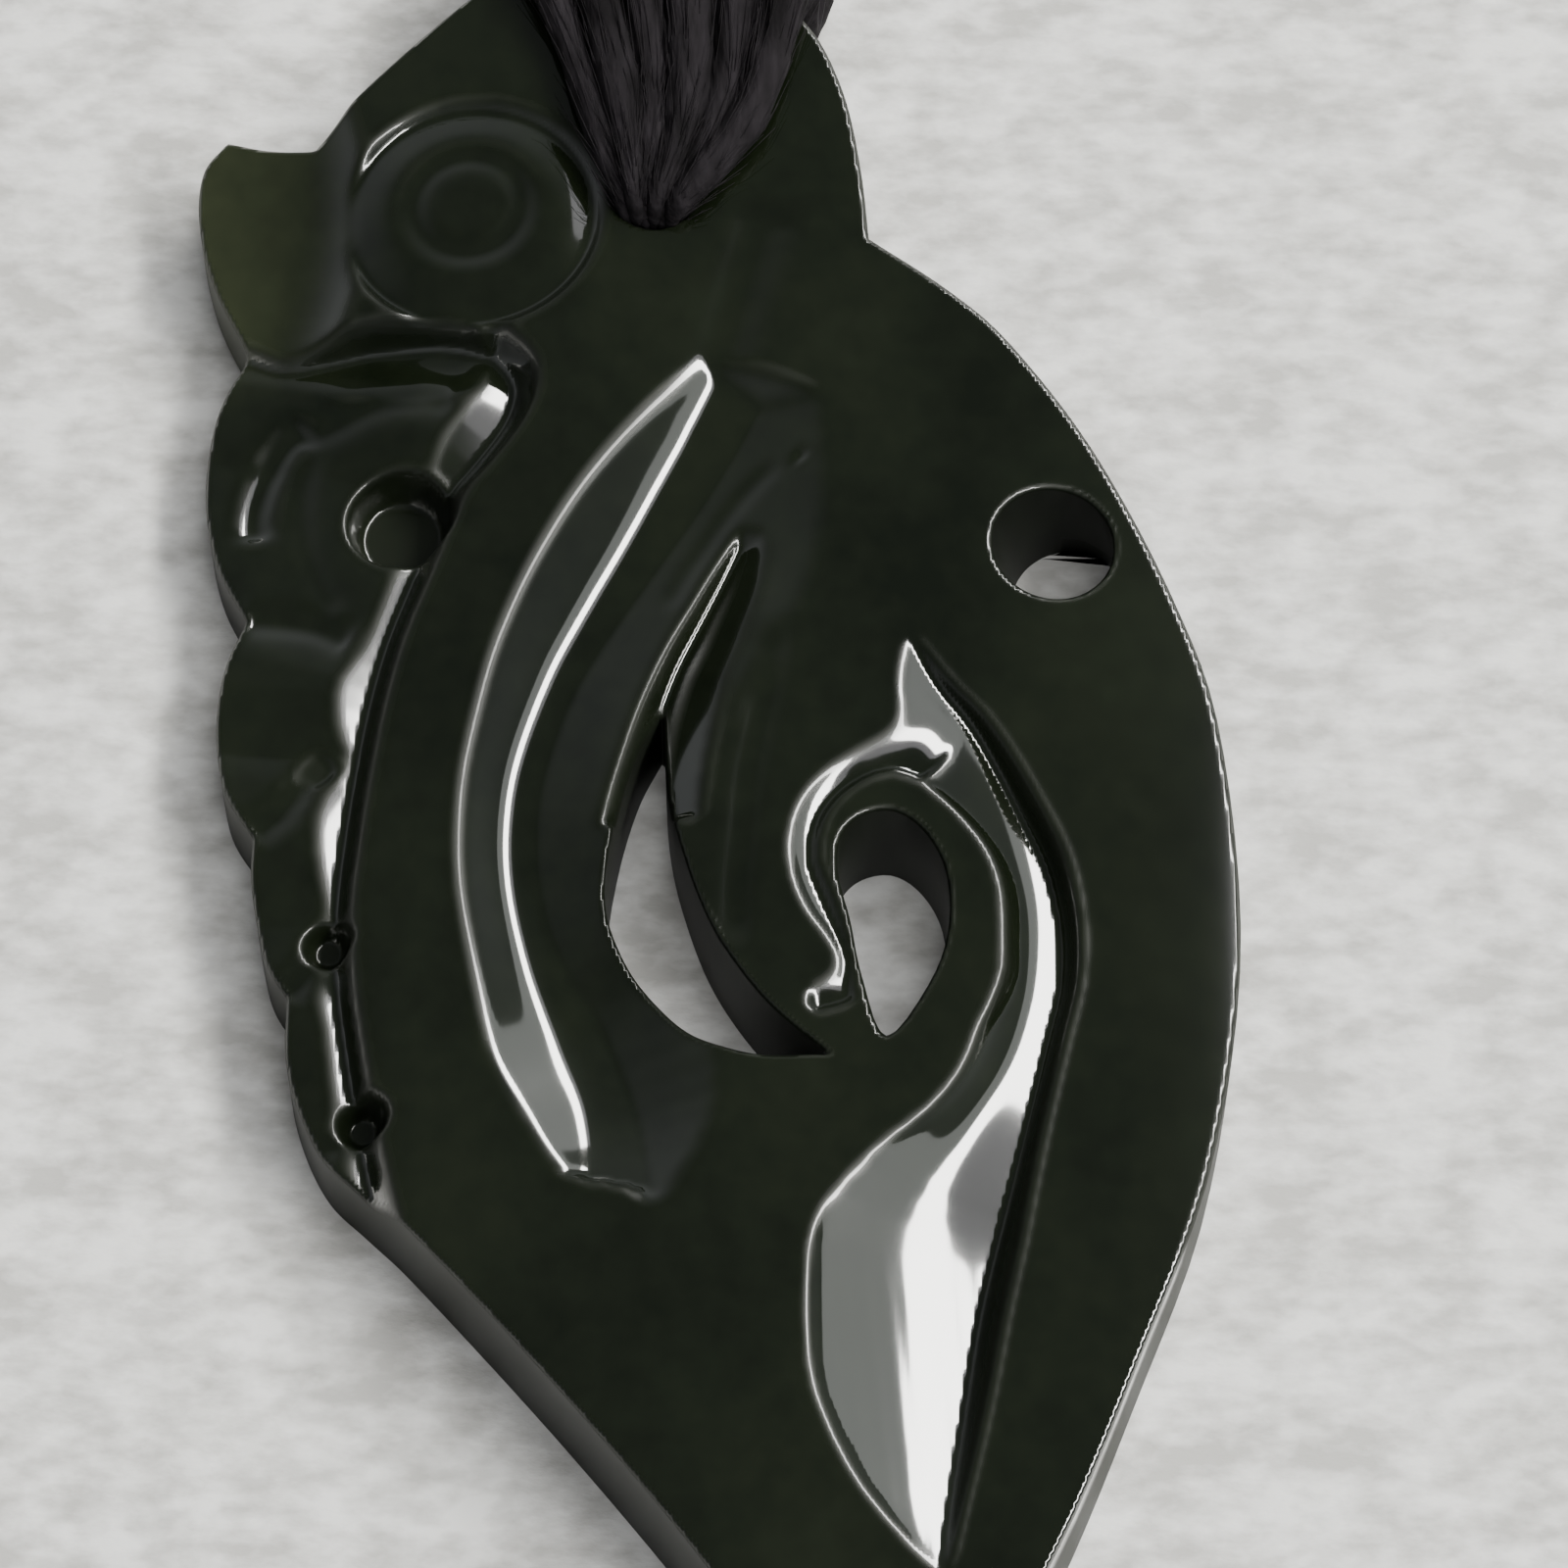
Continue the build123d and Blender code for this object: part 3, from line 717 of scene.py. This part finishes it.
# %% How polished each corner is
MOST_WORN, HOLLOW_WEAR, WORN_ROUNDS = 0.95, 0.5, 2
bend_x, bend_y = np.gradient(stone[1], STEP)[0], np.gradient(stone[2], STEP)[1]
worn = polished(MOST_WORN * fade(-(bend_x + bend_y), 0.4, 1.0), WORN_ROUNDS)
bright_rim = fade(X, 8.0, 10.0) * fade(-Y, 17.0, 19.0)
dull_rim = (1 - fade(solid, 0.02, 0.3)) * (1 - bright_rim)
hollow_masks = [fade(-from_circle(middle, radius), -0.35, -0.1) for middle, radius, _ in hollows]
shine = 1 - np.maximum.reduce([worn, HOLLOW_WEAR * np.max(hollow_masks, axis=0), dull_rim])
polish = np.concatenate([sampled(shine, x[used], y[used]), np.zeros(len(points) - len(top))])
carving.data.attributes.new("polish", "FLOAT", "POINT").data.foreach_set("value", polish)
print("polish", round(float(polish.mean()), 2), "on average")

# %% [markdown]
# ## The lashing
# Six strands of soft cord come up out of the hole, fan out over the stone's top edge, bend round the
# roll and go back along the underside. Cord is a tube that follows a path. It starts as a list of
# stations in space with a radius for each, and the same smooth curve as before runs through them.

# %% Tubes along paths
ROLL_MIDDLE = np.array([-1.77, 31.34, 3.82])
ALONG = np.array([0.9883, -0.1526, 0.0])
OFF = np.array([0.1526, 0.9883, 0.0])
UP = np.array([0.0, 0.0, 1.0])
HOLE = np.array([*CORD_HOLE_PLACE, 0.0])
random = np.random.default_rng(7)


def tubes(paths, radii, sides, first=0):
    """Points and faces of many tubes: centre + radius * (level * cos t + upright * sin t)."""
    heading = np.gradient(paths, axis=1)
    heading /= np.linalg.norm(heading, axis=2, keepdims=True)
    level = ALONG - heading * (heading @ ALONG)[..., None]
    level /= np.linalg.norm(level, axis=2, keepdims=True)
    upright = np.cross(heading, level)
    t = np.linspace(0, 2 * np.pi, sides, endpoint=False)[:, None]
    spokes = level[:, :, None] * np.cos(t) + upright[:, :, None] * np.sin(t)
    skin = paths[:, :, None] + radii[:, :, None, None] * spokes
    count, length = paths.shape[:2]
    number = first + np.arange(count * length * sides).reshape(count, length, sides)
    next_side = np.roll(number, -1, axis=2)
    quads = np.stack(
        [number[:, :-1], next_side[:, :-1], next_side[:, 1:], number[:, 1:]], -1
    ).reshape(-1, 4)
    caps = number[:, 0, ::-1].tolist() + number[:, -1].tolist()
    return skin.reshape(-1, 3), quads.tolist() + caps


print("roll's middle", ROLL_MIDDLE, "mm")

# %% [markdown]
# ## The strands
# Each strand is pressed thin in the hole, swells as it comes out, and is round where it bends over
# the roll. A station is a place and a radius: one in the hole, one at its mouth, one on the way to
# the roll, eleven round it, and one back under the hole. They are written in the roll's own three
# directions, along it, off it and up, so one list serves all six. Soft cord isn't even, so its
# radius varies a little at random.

# %% The strands
STRANDS, PITCH, STRAND_RADIUS, WRAP_RADIUS = 6, 1.95, 0.9, 2.87
STATIONS_ALONG, STRAND_SIDES, LUMP, LUMP_LENGTH = 130, 20, 0.1, 5
routes = []
for strand in range(STRANDS):
    offset = strand - (STRANDS - 1) / 2
    turning = ROLL_MIDDLE + ALONG * offset * PITCH
    stations = [
        (*HOLE + ALONG * offset * 0.25 - OFF * 0.5 + UP * 3.2, 0.3),
        (*HOLE + ALONG * offset * 0.38 - OFF * 0.8 + UP * (5.9 + 0.3 * (strand % 2)), 0.36),
        (*HOLE + ALONG * offset * 1.2 + OFF * 3.4 + UP * (6.2 + 0.35 * (strand % 2)), 0.74),
    ]
    for bend_angle in np.radians(np.linspace(90, -90, 11)):
        spoke = OFF * np.cos(bend_angle) + UP * np.sin(bend_angle)
        stations.append((*turning + spoke * WRAP_RADIUS, STRAND_RADIUS))
    stations.append((*HOLE + ALONG * offset * 0.4 + UP * 0.57, 0.17))
    routes.append(smooth_curve(stations, STATIONS_ALONG))
routes = np.array(routes)
lumps = random.normal(size=routes.shape[:2])
lumps = sum(np.roll(lumps, shift, axis=1) for shift in range(LUMP_LENGTH)) / LUMP_LENGTH**0.5
strand_paths, strand_radii = routes[:, :, :3], routes[:, :, 3] * (1 + LUMP * lumps)
strand_points, strand_faces = tubes(strand_paths, strand_radii, STRAND_SIDES)
print("strands", len(strand_faces), "faces")

# %% [markdown]
# ## Loose fibres
# Spun cord sheds a fuzz of fine hairs, which softens its outline. Each hair leaves a strand a little
# below its surface, follows it for a few stations, and lifts away while it drifts to one side. All
# of them are thin tubes with three sides, worked out together.

# %% Loose fibres
FIBRES, FIBRE_STATIONS, FIBRE_SIDES, FIBRE_RADIUS, FIBRE_TAPER = 3000, 5, 3, 0.03, 0.6
FRONT_PART, ROOT_DEPTH, LIFT_POWER = 0.55, 0.93, 1.5
owner = random.integers(0, STRANDS, FIBRES)
root = random.integers(2, int(STATIONS_ALONG * FRONT_PART), FIBRES)
lean = random.uniform(0, 2 * np.pi, FIBRES)
hair_length = random.uniform(3, 9, FIBRES).astype(int)
lift = random.uniform(0.05, 0.7, FIBRES)
drift = random.normal(0, 0.45, FIBRES)
share = np.linspace(0, 1, FIBRE_STATIONS)
nodes = np.clip(root[:, None] + (share * hair_length[:, None]).astype(int), 0, STATIONS_ALONG)
root_side = ALONG * np.cos(lean)[:, None] + UP * np.sin(lean)[:, None]
tip_side = ALONG * np.cos(lean + drift)[:, None] + UP * np.sin(lean + drift)[:, None]
away = root_side[:, None] * (1 - share)[:, None] + tip_side[:, None] * share[:, None]
distance_out = strand_radii[owner[:, None], nodes] * ROOT_DEPTH + lift[:, None] * share**LIFT_POWER
fibre_paths = strand_paths[owner[:, None], nodes] + away * distance_out[..., None]
fibre_radii = np.full(fibre_paths.shape[:2], FIBRE_RADIUS) * (1 - FIBRE_TAPER * share)
fibre_points, fibre_faces = tubes(fibre_paths, fibre_radii, FIBRE_SIDES, len(strand_points))
lashing = mesh_object(
    "lashing_strands", np.concatenate([strand_points, fibre_points]), strand_faces + fibre_faces,
)
print("lashing", len(lashing.data.polygons), "faces")

# %% [markdown]
# ## The roll
# A short cord wound tightly round a hollow core stops the lashing from slipping off. Its windings
# climb one pitch in each turn, so its radius is a row of half circles that shifts with the angle.

# %% The roll on the top edge
ROLL_RADIUS, CHANNEL_RADIUS, ROLL_LENGTH = 1.85, 1.25, 11.7
WINDING, GROOVE_DEPTH, END_WALL, ROLL_SIDES, ROLL_ROWS = 0.78, 0.16, 0.25, 64, 180
WINDING_ROUNDNESS = 0.6
angle = np.linspace(0, 2 * np.pi, ROLL_SIDES, endpoint=False)
station = np.linspace(-0.5, 0.5, ROLL_ROWS)[:, None] * ROLL_LENGTH
wave = np.abs(np.sin(np.pi * station / WINDING + angle / 2)) ** WINDING_ROUNDNESS
end_gap = ROLL_LENGTH / 2 - np.abs(station)
outer = np.minimum(ROLL_RADIUS - GROOVE_DEPTH * (1 - wave), CHANNEL_RADIUS + END_WALL + end_gap)
inner = np.full((2, ROLL_SIDES), CHANNEL_RADIUS)
roll_radii = np.concatenate([outer, inner])
roll_stations = np.concatenate([station, station[[-1, 0]]])
circle = OFF * np.cos(angle)[:, None] + UP * np.sin(angle)[:, None]
roll_points = ROLL_MIDDLE + ALONG * roll_stations[..., None] + roll_radii[..., None] * circle
roll_number = np.arange(roll_radii.size).reshape(roll_radii.shape)
next_row, next_side = np.roll(roll_number, -1, axis=0), np.roll(roll_number, -1, axis=1)
next_both = np.roll(next_row, -1, axis=1)
roll_faces = np.stack([roll_number, next_row, next_both, next_side], -1).reshape(-1, 4)
roll = mesh_object("roll", roll_points.reshape(-1, 3), roll_faces.tolist())
print("roll", len(roll.data.polygons), "faces")

# %% [markdown]
# ## Materials as formulas
# A finish is a formula of where a point lies, such as a mix of two greens by a cloudy noise. Wiring
# nodes by hand hides that, so one small class wraps a socket, and its operators add the nodes. Then
# a material reads like the formula that it is.

# %% A socket that can be calculated with
FACTOR_INPUT, COLOUR_INPUTS, COLOUR_OUTPUT = 0, (6, 7), 2


class Socket:
    """A socket of a node tree. Its operators add Math nodes, so a formula reads as one."""

    def __init__(self, tree, socket):
        self.tree, self.socket = tree, socket

    def node(self, kind, settings, inputs, output=0):
        """Add a node: first its settings, then a value or a link for each input."""
        made = self.tree.nodes.new(kind)
        for name, setting in settings.items():
            setattr(made, name, setting)
        for name, value in inputs.items():
            if isinstance(value, Socket):
                self.tree.links.new(value.socket, made.inputs[name])
            else:
                made.inputs[name].default_value = value
        return Socket(self.tree, made.outputs[output])

    def maths(self, operation, *values):
        """A Math node of one operation on values or sockets."""
        return self.node("ShaderNodeMath", {"operation": operation}, dict(enumerate(values)))

    def __add__(self, other):
        return self.maths("ADD", self, other)

    def __sub__(self, other):
        return self.maths("SUBTRACT", self, other)

    def __mul__(self, other):
        return self.maths("MULTIPLY", self, other)

    __radd__, __rmul__ = __add__, __mul__

    def __rsub__(self, other):
        return self.maths("SUBTRACT", other, self)

    def noise(self, scale, detail=2.0, stretch=(1, 1, 1)):
        """Soft cloudy noise at a scale, with the coordinates stretched first."""
        stretched = self.node(
            "ShaderNodeVectorMath", {"operation": "MULTIPLY"}, {0: self, 1: stretch}
        )
        inputs = {"Vector": stretched, "Scale": scale, "Detail": detail}
        return self.node("ShaderNodeTexNoise", {}, inputs)

    def between(self, low, high, start=0.0, end=1.0):
        """The value moved from one range to another, and held at the ends."""
        inputs = {"Value": self, "From Min": low, "From Max": high, "To Min": start, "To Max": end}
        return self.node("ShaderNodeMapRange", {"clamp": True}, inputs)

    def colours(self, first, second):
        """The mix of two colours, or of links to them, by this value."""
        values = [value if isinstance(value, Socket) else (*value, 1) for value in (first, second)]
        inputs = {FACTOR_INPUT: self, COLOUR_INPUTS[0]: values[0], COLOUR_INPUTS[1]: values[1]}
        return self.node("ShaderNodeMix", {"data_type": "RGBA"}, inputs, COLOUR_OUTPUT)


def new_material(name, **constants):
    """A Principled material with its constants set, its shader, and its object coordinates."""
    material = bpy.data.materials.new(name)
    material.use_nodes = True
    tree = material.node_tree
    shader = tree.nodes["Principled BSDF"]
    for key, value in constants.items():
        shader.inputs[key.replace("_", " ")].default_value = value
    coordinates = tree.nodes.new("ShaderNodeTexCoord")
    return material, shader, Socket(tree, coordinates.outputs["Object"])


def feed(socket, target):
    """Link a worked-out socket to an input of the shader."""
    socket.tree.links.new(socket.socket, target)


# %% [markdown]
# ## Greenstone
# Nephrite is a dense felt of fine fibres, nearly black in this thickness, with a soft mottling of
# green. Light gets a little way into thin places, so the beak's tip looks olive. The real stone has
# no clear layer, but Principled's coat is a simple way to a mirror as strong as the photo's streaks
# need, and one that an attribute can fade. Where the polish is worn the body roughens as well.

# %% The greenstone
greenstone, shader, place = new_material(
    "greenstone", Roughness=0.08, IOR=1.42, Coat_Weight=1.0, Coat_Roughness=0.05, Coat_IOR=1.9,
)
WORN_ROUGHNESS = 0.55
cloud = place.noise(160.0, 4.0, (1.0, 0.6, 1.0))
fleck = place.noise(900.0, 3.0)
mottle = (cloud * 0.7 + fleck * 0.3).between(0.35, 0.7)
polish = place.node("ShaderNodeAttribute", {"attribute_name": "polish"}, {}, output=2)
feed(polish, shader.inputs["Coat Weight"])
feed(polish.between(0.0, 1.0, WORN_ROUGHNESS, 0.08), shader.inputs["Roughness"])
stone_colour = mottle.colours((0.0022, 0.0036, 0.0014), (0.0068, 0.0094, 0.0045))
sideways = place.node("ShaderNodeSeparateXYZ", {}, {"Vector": place}, output=0)
lengthways = place.node("ShaderNodeSeparateXYZ", {}, {"Vector": place}, output=1)
thin = sideways.between(-0.0120, -0.0175) * lengthways.between(0.014, 0.017)
olive = (thin * mottle.between(0.0, 1.0, 0.5, 1.0)).colours(stone_colour, (0.021, 0.026, 0.012))
feed(olive, shader.inputs["Base Color"])
carving.data.materials.append(greenstone)
print(greenstone.name, len(greenstone.node_tree.nodes), "nodes")

# %% [markdown]
# ## Cord
# The cord is nearly black, with a hint of purple where its fibres catch the light, and it has
# almost no shine. A noise that is drawn out lengthways stands for the fibres, both as two tones and
# as bumps.

# %% The cord
cord_material, shader, place = new_material(
    "cord", Roughness=0.9, Specular_IOR_Level=0.15,
)
nap = place.noise(1400.0, 3.0, (1.0, 0.3, 1.0))
feed(nap.between(0.3, 0.7).colours((0.0042, 0.0036, 0.0041), (0.0150, 0.0130, 0.0150)),
     shader.inputs["Base Color"])
nap_bump = place.node("ShaderNodeBump", {}, {"Strength": 0.9, "Distance": 0.0003, "Height": nap})
feed(nap_bump, shader.inputs["Normal"])
lashing.data.materials.append(cord_material)
roll.data.materials.append(cord_material)
print(cord_material.name, len(cord_material.node_tree.nodes), "nodes")

# %% [markdown]
# ## The paper, and the floor
# The stone lies on something pale and blotched, which is taken for paper. It is a flat plane, part
# of the stage and not of the object. Two noises give its blotches and its fibres.

# %% The paper and the floor
paper, shader, place = new_material("paper", Roughness=0.95, Specular_IOR_Level=0.1)
fibre = place.noise(700.0, 5.0, (1.0, 1.8, 1.0))
blotch = place.noise(230.0, 4.0, (1.0, 1.8, 1.0))
tone = (fibre * 0.45 + blotch * 0.55).between(0.40, 0.60)
feed(tone.colours((0.42, 0.415, 0.395), (0.70, 0.70, 0.68)), shader.inputs["Base Color"])
bump = place.node("ShaderNodeBump", {}, {"Strength": 0.35, "Distance": 0.0004, "Height": fibre})
feed(bump, shader.inputs["Normal"])

FLOOR_SIZE = 1.5
bpy.ops.mesh.primitive_plane_add(size=FLOOR_SIZE, location=(0, 0, 0))
floor = bpy.context.object
floor.name = "floor"
floor.data.materials.append(paper)
print("floor", FLOOR_SIZE, "m")

# %% [markdown]
# ## The light
# The streaks in the gouges look like a long window, seen in the polish. A slope that leans by some
# angle mirrors what stands at twice that angle, so the window is set by angles and not by places.
# Two dim panels beside it give the grey beside each streak. The ceiling and the fill light the
# paper and the cord, and they are hidden from the polish so that it doesn't mirror them.

# %% Panels of light
LIGHT_DISTANCE = 0.6


def panel(name, across, along, radiance, colour=(1.0, 1.0, 1.0)):
    """A flat panel of light, seen from the stone between two angles towards +X and two towards +Y."""
    turn = np.radians(np.mean(across))
    width = 2 * LIGHT_DISTANCE * np.tan(np.radians((across[1] - across[0]) / 2))
    start, end = LIGHT_DISTANCE * np.tan(np.radians(along))
    data = bpy.data.lights.new(name, "AREA")
    data.shape = "RECTANGLE"
    data.size, data.size_y = width, end - start
    data.energy = radiance * np.pi * width * (end - start)
    data.color = colour
    made = bpy.data.objects.new(name, data)
    made.location = (
        LIGHT_DISTANCE * np.sin(turn), (start + end) / 2, LIGHT_DISTANCE * np.cos(turn)
    )
    made.rotation_euler = (0, turn, 0)
    bpy.context.scene.collection.objects.link(made)
    return made


panel("window", (31.0, 39.0), (-33.0, 50.0), 34.0, (1.0, 0.99, 0.95))
panel("window_near_side", (26.0, 31.0), (-33.0, 50.0), 1.1, (0.97, 0.95, 1.0))
panel("window_far_side", (39.0, 49.0), (-33.0, 50.0), 1.1, (0.97, 1.0, 0.97))
ceiling = panel("ceiling", (-2.0, 34.0), (-22.0, 30.0), 3.6)
fill = panel("fill", (-15.0, 15.0), (-40.0, -10.0), 2.6)
ceiling.visible_glossy = fill.visible_glossy = False
print("panels", len(bpy.data.lights))

# %% [markdown]
# ## The room
# Everything that the panels don't cover mirrors the room: pale near the horizon and dark overhead,
# so the level front stays dark while the steep sides catch a soft grey.

# %% The room
world = bpy.data.worlds.new("room")
world.use_nodes = True
background = world.node_tree.nodes["Background"]
direction = Socket(
    world.node_tree, world.node_tree.nodes.new("ShaderNodeTexCoord").outputs["Generated"]
)
upward = direction.node("ShaderNodeSeparateXYZ", {}, {"Vector": direction}, output=2)
sky = upward.between(0.1, 0.85).colours((0.30, 0.31, 0.32), (0.06, 0.062, 0.065))
feed(sky, background.inputs["Color"])
bpy.context.scene.world = world
print(world.name, len(world.node_tree.nodes), "nodes")

# %% [markdown]
# ## The camera
# The photo looks down on the stone from a steep angle, with little perspective. So the camera stands
# well back for an object of this size, and its lens is long enough to fill the picture.

# %% The camera
ELEVATION = np.radians(65.0)
DISTANCE, LOOK_AT = 0.26, Vector((0.0026, 0.0, 0.0025))
camera_data = bpy.data.cameras.new("camera")
camera_data.lens = 175.5
camera = bpy.data.objects.new("camera", camera_data)
camera.location = LOOK_AT + Vector((0, -np.cos(ELEVATION), np.sin(ELEVATION))) * DISTANCE
camera.rotation_euler = (np.pi / 2 - ELEVATION, 0, 0)
bpy.context.scene.collection.objects.link(camera)
bpy.context.scene.camera = camera
print("camera", round(DISTANCE * 1000), "mm away")

# %% [markdown]
# ## The pieces' body, and the plain parts
# Each piece is put on the body that it rides on, and the plain CAD node that it stands for is hidden.

# %% The pieces' body, and the plain parts hidden
for piece, node, slot in [
    (carving, "greenstone", "greenstone"), (lashing, "lashing", "cord"), (roll, "cord_roll", "cord")
]:
    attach(piece, "root")
    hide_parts(node)
